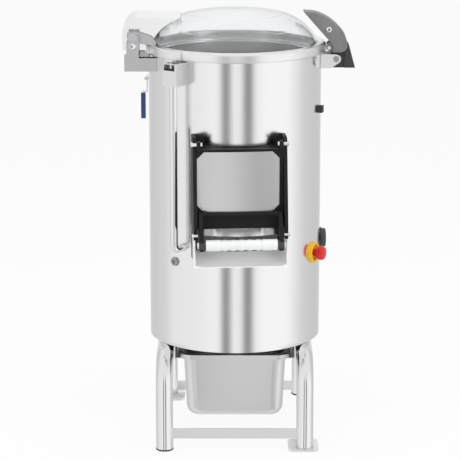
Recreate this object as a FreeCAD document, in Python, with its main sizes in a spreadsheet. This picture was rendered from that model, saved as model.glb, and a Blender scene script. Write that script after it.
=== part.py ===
# Electric potato peeler: a steel drum on a bent-tube stand, with a clear domed lid hinged at the left,
# a discharge door at the front and a waste pan under the drum.
# Origin: on the drum's axis at floor level. +Z is up, the door faces -Y, +X is the latch side.
import FreeCAD, Part
import Sketcher
import math
import os

V = FreeCAD.Vector
doc = FreeCAD.newDocument("potato_peeler")
sheet = doc.addObject("Spreadsheet::Sheet", "sizes")
nodes = []


class Size:
    """A length or angle: its value now, and its formula over the sheet's cells."""

    def __init__(self, value, formula=None):
        self.value = float(value)
        self.formula = formula or f"{float(value):.6f}"

    def _join(self, other, sign, value):
        other = as_size(other)
        return Size(value, f"({self.formula} {sign} {other.formula})")

    def __add__(self, other):
        return self._join(other, "+", self.value + as_size(other).value)

    def __sub__(self, other):
        return self._join(other, "-", self.value - as_size(other).value)

    def __mul__(self, other):
        return self._join(other, "*", self.value * as_size(other).value)

    def __truediv__(self, other):
        return self._join(other, "/", self.value / as_size(other).value)

    def __radd__(self, other):
        return as_size(other) + self

    def __rsub__(self, other):
        return as_size(other) - self

    def __rmul__(self, other):
        return as_size(other) * self

    def __neg__(self):
        return as_size(0) - self


def as_size(number):
    return number if isinstance(number, Size) else Size(number)


def root(size):
    return Size(math.sqrt(size.value), f"sqrt({size.formula})")


def chord_depth(radius, half_width):
    """How far out a circle of this radius still reaches at half_width from its middle."""
    return root(radius * radius - half_width * half_width)


def driving(alias, number):
    """A driving dimension: one row of the sheet."""
    row = driving.rows = getattr(driving, "rows", 0) + 1
    sheet.set(f"A{row}", alias)
    sheet.set(f"B{row}", str(number))
    sheet.setAlias(f"B{row}", alias)
    return Size(number, f"sizes.{alias}")


# Drum and tub
drum_radius = driving("drum_radius", 204)
drum_gauge = driving("drum_gauge", 1.5)
drum_bottom = driving("drum_bottom", 232)
drum_height = driving("drum_height", 686)
base_gauge = driving("base_gauge", 3)
tub_radius = driving("tub_radius", 173)
tub_floor = driving("tub_floor", 442)
lining_gauge = driving("lining_gauge", 4)
fit_gap = driving("fit_gap", 0.3)
running_gap = driving("running_gap", 0.05)
# Stand and pan
leg_radius = driving("leg_radius", 20)
leg_gauge = driving("leg_gauge", 2)
leg_bend = driving("leg_bend", 75)
leg_half_x = driving("leg_half_x", 165)
leg_half_y = driving("leg_half_y", 217)
foot_gauge = driving("foot_gauge", 6)
foot_width = driving("foot_width", 71)
foot_length = driving("foot_length", 80)
foot_overhang = driving("foot_overhang", 12.5)
foot_hole = driving("foot_hole", 5.5)
rubber_height = driving("rubber_height", 4)
bar_height = driving("bar_height", 24)
bar_gauge = driving("bar_gauge", 5)
front_bar_bottom = driving("front_bar_bottom", 27)
rear_bar_bottom = driving("rear_bar_bottom", 10.5)
pan_width = driving("pan_width", 265)
pan_length = driving("pan_length", 325)
pan_depth = driving("pan_depth", 158)
pan_top = driving("pan_top", 215)
pan_rim = driving("pan_rim", 12.5)
pan_gauge = driving("pan_gauge", 1.5)
rail_length = driving("rail_length", 280)
rail_gauge = driving("rail_gauge", 2)
# Lid
ring_radius = driving("ring_radius", 215)
ring_inner = driving("ring_inner", 190)
ring_height = driving("ring_height", 22)
dome_gauge = driving("dome_gauge", 4)
dome_base = driving("dome_base", 194.6)
dome_shoulder = driving("dome_shoulder", 168)
dome_crown = driving("dome_crown", 110)
shoulder_rise = driving("shoulder_rise", 36.7)
crown_rise = driving("crown_rise", 65.2)
side_radius = driving("side_radius", 104)
shoulder_radius = driving("shoulder_radius", 122.5)
crown_radius = driving("crown_radius", 581)
hinge_x = driving("hinge_x", 237)
hinge_z = driving("hinge_z", 962)
hinge_pin_radius = driving("hinge_pin_radius", 6)
bracket_inner = driving("bracket_inner", 88)
bracket_gauge = driving("bracket_gauge", 5)
cover_half = driving("cover_half", 67)
cover_gauge = driving("cover_gauge", 1.5)
# Latch
latch_x = driving("latch_x", 222)
latch_z = driving("latch_z", 925)
latch_pin_radius = driving("latch_pin_radius", 4)
ear_x = driving("ear_x", 238.4)
ear_z = driving("ear_z", 900)
ear_gap = driving("ear_gap", 23)
ear_gauge = driving("ear_gauge", 5)
core_half = driving("core_half", 18)
shell_half = driving("shell_half", 22)
shell_gauge = driving("shell_gauge", 1.5)
# Discharge
door_turn = driving("door_turn", 4.5)
door_shift = driving("door_shift", -6)
cheek_half = driving("cheek_half", 108.5)
cheek_gauge = driving("cheek_gauge", 8)
frame_top = driving("frame_top", 750)
neck_top = driving("neck_top", 724)
throat_top = driving("throat_top", 714)
trough_rear = driving("trough_rear", 478)
trough_lip = driving("trough_lip", 456)
trough_reach = driving("trough_reach", 262)
door_hinge_out = driving("door_hinge_out", 226)
door_hinge_z = driving("door_hinge_z", 735)
door_inner = driving("door_inner", 213)
door_outer = driving("door_outer", 231)
door_bottom = driving("door_bottom", 539)
panel_half = driving("panel_half", 94.6)
panel_shift = driving("panel_shift", -4.3)
door_top = driving("door_top", 724.5)
panel_bottom = driving("panel_bottom", 579)
panel_top = driving("panel_top", 719)
handle_out = driving("handle_out", 240)
handle_z = driving("handle_z", 575)
grip_out = driving("grip_out", 275)
grip_z = driving("grip_z", 510)
grip_radius = driving("grip_radius", 13)
grip_half = driving("grip_half", 82)
arm_out = driving("handle_arm_half", 91.5)
axle_radius = driving("handle_axle_radius", 4.5)
lug_radius = driving("handle_lug_radius", 6.8)
# Safety switch
switch_turn = driving("switch_turn", -36.5)
box_width = driving("box_width", 38)
box_reach = driving("box_reach", 46)
box_bottom = driving("box_bottom", 864.5)
box_height = driving("box_height", 52)
conduit_radius = driving("conduit_radius", 9.5)
conduit_out = driving("conduit_out", 237)
conduit_bend = driving("conduit_bend", 16)
elbow_z = driving("elbow_z", 478)
# Controls
stop_turn = driving("stop_turn", 65)
stop_z = driving("stop_z", 447)
stop_collar_radius = driving("stop_collar_radius", 25.5)
button_radius = driving("button_radius", 16.5)
timer_turn = driving("timer_turn", 93)
timer_z = driving("timer_z", 460)
timer_radius = driving("timer_radius", 25)
# Water valve
pipe_radius = driving("pipe_radius", 10.5)
pipe_x = driving("pipe_x", 158)
pipe_y = driving("pipe_y", 165)
pipe_z = driving("pipe_z", 820)
pipe_length = driving("pipe_length", 95)
lever_x = driving("lever_x", 213)
grip_x = driving("grip_x", 222)
# Drive
shaft_radius = driving("shaft_radius", 12.5)
disc_radius = driving("disc_radius", 164)
disc_gauge = driving("disc_gauge", 12)
disc_bottom = driving("disc_bottom", 464)
pulley_radius = driving("pulley_radius", 65)
motor_pulley_radius = driving("motor_pulley_radius", 20)
pulley_bottom = driving("pulley_bottom", 252)
pulley_width = driving("pulley_width", 18)
motor_y = driving("motor_y", 118)
motor_radius = driving("motor_radius", 62)
motor_height = driving("motor_height", 120)
drain_y = driving("drain_y", 122)
drain_radius = driving("drain_radius", 28)
doc.recompute()

drum_top = drum_bottom + drum_height
drum_inner = drum_radius - drum_gauge
ring_bottom = drum_top + fit_gap
ring_top = ring_bottom + ring_height
ALONG_X = FreeCAD.Rotation(V(0, 1, 0), 90)
OUTWARD = FreeCAD.Rotation(V(1, 0, 0), 90)
FRONT_TO_TOP = FreeCAD.Rotation(V(1, 0, 1), 180)
REAR_TO_TOP = FreeCAD.Rotation(V(1, 1, 1), 120)
FRONT_TO_UNDER = FreeCAD.Rotation(V(-1, 1, -1), 120)


def bind(thing, path, size):
    thing.setExpression(path, as_size(size).formula)


def place(thing, x=0, y=0, z=0, rotation=None):
    """Puts a shape at x, y, z, by the sheet's formulas."""
    spot = [as_size(number) for number in (x, y, z)]
    turn = rotation or FreeCAD.Rotation()
    thing.Placement = FreeCAD.Placement(V(*[size.value for size in spot]), turn)
    for axis, size in zip("xyz", spot):
        bind(thing, f"Placement.Base.{axis}", size)
    return thing


def around(thing, angle):
    """Turns a finished shape about the drum's axis."""
    thing.Placement = FreeCAD.Placement(V(), FreeCAD.Rotation(V(0, 0, 1), as_size(angle).value))
    bind(thing, "Placement.Rotation.Angle", angle)
    return thing


def box(name, low, high):
    """A block from its lowest to its highest corner."""
    low = [as_size(number) for number in low]
    high = [as_size(number) for number in high]
    block = doc.addObject("Part::Box", name)
    for path, start, end in zip(("Length", "Width", "Height"), low, high):
        bind(block, path, end - start)
    return place(block, *low)


def rod(name, radius, length, x=0, y=0, z=0, rotation=None):
    bar = doc.addObject("Part::Cylinder", name)
    bind(bar, "Radius", radius)
    bind(bar, "Height", length)
    return place(bar, x, y, z, rotation)


def bend(name, radius, bend_radius, x, y, z, rotation):
    """A quarter turn of round bar about its own centre."""
    arc = doc.addObject("Part::Torus", name)
    bind(arc, "Radius1", bend_radius)
    bind(arc, "Radius2", radius)
    arc.Angle3 = 90
    return place(arc, x, y, z, rotation)


def fuse(name, *shapes):
    if len(shapes) == 1:
        return shapes[0]
    whole = doc.addObject("Part::MultiFuse", name)
    whole.Shapes = list(shapes)
    return whole


def group(name, *shapes):
    whole = doc.addObject("Part::Compound", name)
    whole.Links = list(shapes)
    return whole


def cut(name, base, *tools):
    rest = doc.addObject("Part::Cut", name)
    rest.Base = base
    rest.Tool = fuse(name + "_tools", *tools)
    return rest


def tube(name, outer, inner, bottom, top, x=0, y=0):
    return cut(name, rod(name + "_outside", outer, top - bottom, x, y, bottom),
               rod(name + "_inside", inner, top - bottom + 2, x, y, bottom - 1))


def trace(sketch, outline):
    """Draws a closed outline. A point is (x, y); (x, y, radius) arrives there on an arc that turns
    left, or right where the radius is negative."""
    count = len(outline)
    points = [(as_size(point[0]), as_size(point[1])) for point in outline]
    for index in range(count):
        start = V(points[index][0].value, points[index][1].value, 0)
        target = outline[(index + 1) % count]
        end = V(points[(index + 1) % count][0].value, points[(index + 1) % count][1].value, 0)
        if len(target) == 2:
            sketch.addGeometry(Part.LineSegment(start, end), False)
            continue
        radius = as_size(target[2])
        side = 1 if radius.value > 0 else -1
        half = (end - start) * 0.5
        across = V(-half.y, half.x, 0).normalize() * side
        drop = math.sqrt(max(radius.value ** 2 - half.Length ** 2, 0))
        centre = start + half + across * drop
        middle = centre - across * abs(radius.value)
        sketch.addGeometry(Part.Arc(start, middle, end), False)
    firsts = []
    lasts = []
    for index in range(count):
        turned = len(outline[(index + 1) % count]) == 3 and as_size(outline[(index + 1) % count][2]).value < 0
        firsts.append(2 if turned else 1)
        lasts.append(1 if turned else 2)
    for index in range(count):
        following = (index + 1) % count
        sketch.addConstraint(Sketcher.Constraint("Coincident", index, lasts[index], following,
                                                 firsts[following]))
    for index, (across, up) in enumerate(points):
        for kind, size in (("DistanceX", across), ("DistanceY", up)):
            rule = Sketcher.Constraint(kind, -1, 1, index, firsts[index], size.value)
            bind(sketch, f"Constraints[{sketch.addConstraint(rule)}]", size)
        target = outline[(index + 1) % count]
        if len(target) == 3:
            radius = as_size(target[2])
            size = radius if radius.value > 0 else -radius
            rule = Sketcher.Constraint("Radius", index, size.value)
            bind(sketch, f"Constraints[{sketch.addConstraint(rule)}]", size)


def drawn(name, plane, outline):
    """A body with one sketch on one of its own planes."""
    body = doc.addObject("PartDesign::Body", name)
    sketch = body.newObject("Sketcher::SketchObject", name + "_outline")
    flat = [face for face in body.Origin.OriginFeatures if face.Role == plane][0]
    sketch.AttachmentSupport = (flat, [""])
    sketch.MapMode = "FlatFace"
    trace(sketch, outline)
    return body, sketch


def plate(name, plane, outline, thickness, x=0, y=0, z=0, taper=0):
    """A flat outline with a thickness. On the XZ plane it grows towards -Y."""
    body, sketch = drawn(name, plane, outline)
    pad = body.newObject("PartDesign::Pad", name + "_pad")
    pad.Profile = sketch
    bind(pad, "Length", thickness)
    pad.TaperAngle = taper
    return place(body, x, y, z)


def turned(name, outline, x=0, y=0, z=0):
    """A round piece: the outline (radius, height) spun about the vertical axis."""
    body, sketch = drawn(name, "XZ_Plane", outline)
    spin = body.newObject("PartDesign::Revolution", name + "_spin")
    spin.Profile = sketch
    spin.ReferenceAxis = (sketch, ["V_Axis"])
    spin.Angle = 360
    return place(body, x, y, z)


def node(name, thing):
    """Marks a shape as a finished sub-part under its own name."""
    thing.Label = name
    nodes.append(thing)
    return thing


def chamfered(low_x, low_y, high_x, high_y, corner):
    return [(low_x + corner, low_y), (high_x - corner, low_y), (high_x, low_y + corner),
            (high_x, high_y - corner), (high_x - corner, high_y), (low_x + corner, high_y),
            (low_x, high_y - corner), (low_x, low_y + corner)]


def rounded(half_x, half_y, corner):
    return [(corner - half_x, -half_y, corner), (half_x - corner, -half_y), (half_x, corner - half_y, corner),
            (half_x, half_y - corner), (half_x - corner, half_y, corner), (corner - half_x, half_y),
            (-half_x, half_y - corner, corner), (-half_x, corner - half_y)]


# Stand: two bent tubes, one each side, with the drum's base bolted to their tops
tube_top = drum_bottom - fit_gap
run_z = tube_top - leg_radius
bolt_y = driving("stand_bolt_y", 60)
bolt_radius = driving("stand_bolt_radius", 4)


def bent_tube(name, radius, side, front_bottom, rear_bottom):
    x = side * leg_half_x
    straight = leg_half_y - leg_bend
    knee_z = run_z - leg_bend
    return fuse(name,
                rod(name + "_front", radius, knee_z - front_bottom, x, -leg_half_y, front_bottom),
                rod(name + "_rear", radius, knee_z - rear_bottom, x, leg_half_y, rear_bottom),
                rod(name + "_run", radius, straight * 2, x, straight, run_z, OUTWARD),
                bend(name + "_front_bend", radius, leg_bend, x, -straight, knee_z, FRONT_TO_TOP),
                bend(name + "_rear_bend", radius, leg_bend, x, straight, knee_z, REAR_TO_TOP))


def leg_frame(name, side, front_bottom, rear_bottom):
    x = side * leg_half_x
    bore = bent_tube(name + "_bore", leg_radius - leg_gauge, side, front_bottom - 1, rear_bottom - 1)
    holes = [rod(f"{name}_hole_{index}", bolt_radius + 0.2, leg_radius, x, y, run_z)
             for index, y in enumerate((-bolt_y, bolt_y))]
    return node(name, cut(name, bent_tube(name + "_tube", leg_radius, side, front_bottom, rear_bottom),
                          bore, *holes))


leg_frame("left_leg_frame", -1, rubber_height, foot_gauge)
leg_frame("right_leg_frame", 1, foot_gauge, rubber_height)


def crossbar(name, y, bottom):
    bar = box(name + "_blank", (-leg_half_x, y - bar_gauge / 2, bottom),
              (leg_half_x, y + bar_gauge / 2, bottom + bar_height))
    legs = [rod(f"{name}_leg_{index}", leg_radius + 0.1, bar_height + 20, x, y, bottom - 10)
            for index, x in enumerate((-leg_half_x, leg_half_x))]
    return cut(name, bar, *legs)


node("crossbars", group("crossbars", crossbar("front_crossbar", -leg_half_y, front_bar_bottom),
                        crossbar("rear_crossbar", leg_half_y, rear_bar_bottom)))

foot_far_x = leg_half_x + leg_radius + foot_overhang
foot_far_y = leg_half_y + leg_radius
foot_hole_x = foot_far_x - foot_width + 14
foot_hole_y = foot_far_y - foot_length + 14
foot_outline = chamfered(foot_far_x - foot_width, -foot_far_y, foot_far_x, foot_length - foot_far_y, Size(8))
front_foot = cut("foot_front", plate("foot_front_blank", "XY_Plane", foot_outline, foot_gauge),
                 rod("foot_front_hole", foot_hole, foot_gauge + 2, foot_hole_x, -foot_hole_y, -1))
rear_outline = chamfered(-foot_far_x, foot_far_y - foot_length, foot_width - foot_far_x, foot_far_y, Size(8))
rear_foot = cut("foot_rear", plate("foot_rear_blank", "XY_Plane", rear_outline, foot_gauge),
                rod("foot_rear_hole", foot_hole, foot_gauge + 2, -foot_hole_x, foot_hole_y, -1))
node("foot_plates", group("foot_plates", front_foot, rear_foot))


def rubber_foot(name, x, y):
    inside = leg_radius - leg_gauge - 0.1
    return turned(name, [(0, 0), (leg_radius, 0), (leg_radius + 1, 2), (leg_radius + 1, rubber_height),
                         (inside, rubber_height), (inside, rubber_height + 18), (0, rubber_height + 18)], x, y)


node("rubber_feet", group("rubber_feet", rubber_foot("foot_front_left", -leg_half_x, -leg_half_y),
                          rubber_foot("foot_rear_right", leg_half_x, leg_half_y)))


def stand_bolt(name, x, y):
    seat = drum_bottom + base_gauge
    return turned(name, [(0, seat - 16), (bolt_radius, seat - 16), (bolt_radius, seat),
                         (bolt_radius * 1.7, seat), (bolt_radius * 1.7, seat + 5), (0, seat + 5)], x, y)


node("stand_bolts", group("stand_bolts", *[stand_bolt(f"stand_bolt_{index}", x, y) for index, (x, y) in
                                           enumerate([(leg_half_x * i, bolt_y * j)
                                                      for i in (-1, 1) for j in (-1, 1)])]))

# Pan rails under the base, and the pan whose rim rides on their lower flanges
rail_x = pan_width / 2 + 10.5
flange_x = pan_width / 2 - 4.5
rail_bottom = pan_top - pan_rim - fit_gap - rail_gauge
rail_outline = [(flange_x, rail_bottom), (rail_x, rail_bottom), (rail_x, drum_bottom), (flange_x, drum_bottom),
                (flange_x, drum_bottom - rail_gauge), (rail_x - rail_gauge, drum_bottom - rail_gauge),
                (rail_x - rail_gauge, rail_bottom + rail_gauge), (flange_x, rail_bottom + rail_gauge)]
right_rail = plate("right_rail", "XZ_Plane", rail_outline, rail_length, 0, rail_length / 2)
left_rail = plate("left_rail", "XZ_Plane", [(-x, z) for x, z in rail_outline], rail_length, 0, rail_length / 2)
node("pan_rails", group("pan_rails", left_rail, right_rail))

body_half_x = pan_width / 2 - pan_rim
body_half_y = pan_length / 2 - pan_rim
pan_bottom = pan_top - pan_depth
PAN_TAPER = 3
lean_in = pan_depth * math.tan(math.radians(PAN_TAPER))
low_x = body_half_x - lean_in
low_y = body_half_y - lean_in
pan_outside = plate("pan_outside", "XY_Plane", rounded(low_x, low_y, Size(28)), pan_depth, 0, 0, pan_bottom,
                    PAN_TAPER)
pan_hollow = plate("pan_hollow", "XY_Plane", rounded(low_x - pan_gauge, low_y - pan_gauge, Size(26.5)),
                   pan_depth + 5, 0, 0, pan_bottom + pan_gauge, PAN_TAPER)
rim_plate = plate("pan_rim_plate", "XY_Plane", rounded(pan_width / 2, pan_length / 2, Size(38)), pan_rim,
                  0, 0, pan_top - pan_rim)
rim_under = plate("pan_rim_under", "XY_Plane",
                  rounded(pan_width / 2 - pan_gauge, pan_length / 2 - pan_gauge, Size(36.5)),
                  pan_rim - pan_gauge + 1, 0, 0, pan_top - pan_rim - 1)
rim_shell = cut("pan_rim_shell", rim_plate, rim_under)
node("waste_pan", cut("waste_pan", fuse("pan_blank", pan_outside, rim_shell), pan_hollow))

# Drum shell, open where the throat, the pipe, the conduit and the controls pass
throat_half = cheek_half + fit_gap
throat_block = box("throat_block", (door_shift - throat_half, -drum_radius - 10, trough_rear - 20),
                   (door_shift + throat_half, -120, neck_top + fit_gap))
throat_tool = around(group("throat_tool", throat_block), door_turn)


def bands(name, outer, inner, heights, *tools):
    """A rolled wall as stacked bands, so that the doorway's band is a plain C seen from above."""
    rings = []
    for index, (low, high) in enumerate(zip(heights, heights[1:])):
        rings.append(cut(f"{name}_band_{index}", tube(f"{name}_blank_{index}", outer, inner, low, high), *tools))
    return rings


def wall_hole(name, radius, z, angle):
    """A round hole through the drum's wall at an angle about the drum's axis."""
    drill = rod(name + "_drill", radius, 40, 0, 20 - drum_radius, z, OUTWARD)
    return around(group(name, drill), angle)


plug_turn = driving("plug_turn", -43.2)
plug_z = driving("plug_z", 440)
gland_turn = driving("gland_turn", 180)
gland_z = driving("gland_z", 270)
gland_radius = driving("gland_radius", 10)
spindle_radius = driving("spindle_radius", 8)
plug_stem = driving("plug_stem", 5)
shell_heights = (drum_bottom, trough_rear - 20, neck_top + fit_gap, drum_top)
shell_bands = bands("shell", drum_radius, drum_inner, shell_heights, throat_tool,
                    wall_hole("conduit_hole", conduit_radius + fit_gap, elbow_z, switch_turn),
                    wall_hole("plug_hole", plug_stem + fit_gap, plug_z, plug_turn),
                    wall_hole("stop_hole", spindle_radius + fit_gap, stop_z, stop_turn),
                    wall_hole("timer_hole", spindle_radius + fit_gap, timer_z, timer_turn),
                    wall_hole("gland_hole", gland_radius + fit_gap, gland_z, gland_turn),
                    rod("pipe_hole", pipe_radius + 1, 100, -pipe_x, pipe_y, pipe_z, OUTWARD))
node("drum_shell", group("drum_shell", *shell_bands))

drain_top = tub_floor
base_hole = rod("base_drain_hole", drain_radius + fit_gap, base_gauge + 2, 0, -drain_y, drum_bottom - 1)
bolt_spots = [(leg_half_x * i, bolt_y * j) for i in (-1, 1) for j in (-1, 1)]
base_bolts = [rod(f"base_bolt_hole_{index}", bolt_radius + 0.2, base_gauge + 2, x, y, drum_bottom - 1)
              for index, (x, y) in enumerate(bolt_spots)]
node("drum_base_plate", cut("drum_base_plate",
                            rod("base_blank", drum_inner - 0.2, base_gauge, 0, 0, drum_bottom),
                            base_hole, *base_bolts))

# Peeling tub: wall with a top flange, a floor plate, and the abrasive lining
tub_gauge = driving("tub_gauge", 1.5)
tub_outer = tub_radius + tub_gauge
flange_top = drum_top - 1
seal_radius = driving("seal_radius", 39.7)
tub_base_top = tub_floor + 3
tub_outline = [(tub_radius, throat_top), (tub_outer, throat_top), (tub_outer, flange_top - 2),
               (drum_inner - 0.2, flange_top - 2), (drum_inner - 0.2, flange_top), (tub_radius, flange_top)]
tub_blank = turned("tub_blank", tub_outline)
tub_throat = box("tub_throat", (door_shift - panel_half, -drum_radius, trough_rear),
                 (door_shift + panel_half, -100, throat_top))
tub_throat_tool = around(group("tub_throat_tool", tub_throat), door_turn)
tub_bands = bands("tub", tub_outer, tub_radius, (tub_base_top, trough_rear, throat_top), tub_throat_tool)
tub_top = cut("tub_top", tub_blank, rod("tub_pipe_hole", pipe_radius + 1, 140, -pipe_x, pipe_y, pipe_z, OUTWARD))
node("peeling_tub", group("peeling_tub", *tub_bands, tub_top))
node("tub_base", cut("tub_base", tube("tub_base_ring", tub_outer, seal_radius + fit_gap, tub_floor, tub_base_top),
                     rod("tub_drain_hole", drain_radius - 2, 20, 0, -drain_y, tub_floor - 5)))
lining_radius = tub_radius - fit_gap
lining_throat = box("lining_throat", (door_shift - panel_half - 6, -drum_radius, trough_rear - 10),
                    (door_shift + panel_half + 6, -90, throat_top + 8))
lining_tool = around(group("lining_tool", lining_throat), door_turn)
node("wall_lining", cut("wall_lining",
                        tube("lining_blank", lining_radius, lining_radius - lining_gauge, tub_floor + 40,
                             flange_top - 60),
                        lining_tool,
                        rod("lining_pipe_hole", pipe_radius + 6, 150, -pipe_x, pipe_y, pipe_z, OUTWARD)))
node("drain_spout", tube("drain_spout", drain_radius, drain_radius - 2, drum_bottom - 8, tub_floor, 0, -drain_y))

# Drive: motor beside the shaft, a belt below, the disc above the tub floor
shaft_bottom = pulley_bottom - 6
shaft_top = disc_bottom + disc_gauge + 6
housing_radius = driving("housing_radius", 34)
bearing_radius = driving("bearing_radius", 26)
bearing_width = driving("bearing_width", 15)
housing_bottom = driving("housing_bottom", 330)
lower_bearing_z = housing_bottom + 6
upper_bearing_z = tub_floor - 6 - bearing_width
housing_outline = [(shaft_radius + 4, housing_bottom), (housing_radius, housing_bottom),
                   (housing_radius, tub_floor - 8), (housing_radius + 40, tub_floor - 8),
                   (housing_radius + 40, tub_floor), (bearing_radius + 0.05, tub_floor),
                   (bearing_radius + 0.05, lower_bearing_z), (shaft_radius + 4, lower_bearing_z)]
node("bearing_housing", turned("bearing_housing", housing_outline))


def ball_bearing(name, bottom):
    return tube(name, bearing_radius, shaft_radius + running_gap, bottom, bottom + bearing_width)


node("shaft_bearings", group("shaft_bearings", ball_bearing("lower_bearing", lower_bearing_z),
                             ball_bearing("upper_bearing", upper_bearing_z)))
node("shaft_seal", tube("shaft_seal", seal_radius, shaft_radius + running_gap, tub_floor, tub_floor + 9))
node("drive_shaft", rod("drive_shaft", shaft_radius, shaft_top - shaft_bottom, 0, 0, shaft_bottom))
hub_top = disc_bottom + disc_gauge
disc_outline = [(shaft_radius, tub_floor + 12), (28, tub_floor + 12), (28, disc_bottom),
                (disc_radius - 6, disc_bottom), (disc_radius, disc_bottom + 4), (disc_radius, hub_top),
                (60, hub_top - 3), (40, hub_top + 10), (shaft_radius + 6, hub_top + 16), (0, hub_top + 16),
                (0, shaft_top), (shaft_radius, shaft_top)]
lobe_holes = [rod(f"disc_drain_{index}", 5, 40, 130 * math.cos(math.radians(60 * index)),
                  130 * math.sin(math.radians(60 * index)), disc_bottom - 10) for index in range(6)]
node("peeling_disc", cut("peeling_disc", turned("disc_blank", disc_outline), *lobe_holes))
pulley_top = pulley_bottom + pulley_width
groove_low = pulley_bottom + 4
groove_high = pulley_top - 4
belt_radius = driving("belt_depth", 5)
pulley_bore = shaft_radius + 0.02
driven_outline = [(pulley_bore, pulley_bottom), (pulley_radius, pulley_bottom), (pulley_radius, groove_low),
                  (pulley_radius - belt_radius - 1, groove_low), (pulley_radius - belt_radius - 1, groove_high),
                  (pulley_radius, groove_high), (pulley_radius, pulley_top), (pulley_bore, pulley_top)]
node("driven_pulley", turned("driven_pulley", driven_outline))
motor_bottom = pulley_top + 22
rotor_radius = driving("rotor_radius", 9)
small_outline = [(0, pulley_bottom), (motor_pulley_radius, pulley_bottom), (motor_pulley_radius, groove_low),
                 (motor_pulley_radius - belt_radius - 1, groove_low),
                 (motor_pulley_radius - belt_radius - 1, groove_high), (motor_pulley_radius, groove_high),
                 (motor_pulley_radius, pulley_top), (rotor_radius, pulley_top),
                 (rotor_radius, motor_bottom + 40), (0, motor_bottom + 40)]
node("motor_pulley", turned("motor_pulley", small_outline, 0, motor_y))


def belt_loop(name, offset, bottom, top):
    """The belt's outline round both pulleys, offset out from the groove floors."""
    big = pulley_radius - belt_radius - 1 + offset
    small = motor_pulley_radius - belt_radius - 1 + offset
    lean = (big - small) / motor_y
    flat = root(1 - lean * lean)
    outline = [(big * flat, big * lean), (small * flat, motor_y + small * lean),
               (-small * flat, motor_y + small * lean, small), (-big * flat, big * lean)]
    strip = plate(name + "_strip", "XY_Plane", [point[:2] for point in outline], top - bottom, 0, 0, bottom)
    return fuse(name, strip, rod(name + "_big", big, top - bottom, 0, 0, bottom),
                rod(name + "_small", small, top - bottom, 0, motor_y, bottom))


node("drive_belt", cut("drive_belt", belt_loop("belt_outside", belt_radius, groove_low + 0.4, groove_high - 0.4),
                       belt_loop("belt_inside", fit_gap, groove_low - 1, groove_high + 1)))
motor_outline = [(rotor_radius + running_gap, motor_bottom), (motor_radius, motor_bottom),
                 (motor_radius, motor_bottom + motor_height), (0, motor_bottom + motor_height),
                 (0, motor_bottom + 41), (rotor_radius + running_gap, motor_bottom + 41)]
node("motor_body", turned("motor_body", motor_outline, 0, motor_y))
mount_top = motor_bottom
mount_blank = box("mount_blank", (-80, motor_y - 45, mount_top - 5), (80, motor_y + 45, mount_top))
mount_posts = [rod(f"mount_post_{index}", 5, mount_top - 5 - drum_bottom - base_gauge, x, motor_y + y,
                   drum_bottom + base_gauge)
               for index, (x, y) in enumerate([(72 * i, 37 * j) for i in (-1, 1) for j in (-1, 1)])]
node("motor_mount", cut("motor_mount", fuse("mount_solid", mount_blank, *mount_posts),
                        rod("mount_bore", motor_pulley_radius + 4, 20, 0, motor_y, mount_top - 10)))

# Lid: ring, gasket and clear dome
seat = driving("dome_seat", 5)
ring_outline = [(ring_inner, ring_bottom), (ring_inner + 4, ring_bottom), (ring_inner + 4, ring_bottom + 4),
                (ring_inner + 10, ring_bottom + 4), (ring_inner + 10, ring_bottom),
                (ring_radius - 4, ring_bottom), (ring_radius, ring_bottom + 4, 4),
                (ring_radius, ring_top - 7), (ring_radius - 7, ring_top, 7),
                (ring_inner + 5, ring_top), (ring_inner + 5, ring_top - seat), (ring_inner, ring_top - seat)]
node("lid_ring", turned("lid_ring", ring_outline))
node("lid_gasket", tube("lid_gasket", ring_inner + 9.8, ring_inner + 4.2, drum_top - 0.7, ring_bottom + 3.8))


def dome_solid(name, inset, bottom):
    """The dome's outline: side, rounded shoulder and a flat crown whose centre is on the axis."""
    shoulder_z = ring_top + shoulder_rise - inset * 0.8
    crown_z = ring_top + crown_rise - inset
    crown_arc = crown_radius - inset
    apex_z = crown_z + crown_arc - chord_depth(crown_arc, dome_crown)
    return turned(name, [(0, bottom), (dome_base - inset, bottom), (dome_base - inset, ring_top),
                         (dome_shoulder - inset * 0.7, shoulder_z, side_radius - inset),
                         (dome_crown, crown_z, shoulder_radius - inset), (0, apex_z, crown_arc)])


node("lid_dome", cut("lid_dome", dome_solid("dome_outside", Size(0), ring_top - seat + 0.1),
                     dome_solid("dome_inside", dome_gauge, ring_top - seat - 2)))

# Lid hinge: two angled brackets on the drum, a shelf between them, a pin, and the lid's arms and cover
bracket_outer = bracket_inner + bracket_gauge
arm_top = driving("bracket_arm_top", 912)
arm_bottom = driving("bracket_arm_bottom", 881)
bracket_left = hinge_x + 20
wall_x = chord_depth(drum_radius + fit_gap, bracket_inner)
bracket_outline = [(-bracket_left, arm_bottom), (-150, arm_bottom), (-150, arm_top),
                   (14 - hinge_x, arm_top), (14 - hinge_x, hinge_z + 11), (-hinge_x - 11, hinge_z + 11),
                   (-hinge_x - 11, hinge_z - 14), (-bracket_left + 5, hinge_z - 14), (-bracket_left + 5, 921),
                   (-bracket_left, 921)]
wall_cut = driving("bracket_wall_gap", 0.3)


def hinge_bracket(name, y):
    blank = plate(name + "_blank", "XZ_Plane", bracket_outline, bracket_gauge, 0, y)
    return cut(name, blank, rod(name + "_drum", drum_radius + wall_cut, 60, 0, 0, arm_bottom - 10),
               rod(name + "_bore", hinge_pin_radius + 0.02, 20, -hinge_x, y + 8, hinge_z, OUTWARD))


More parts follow.
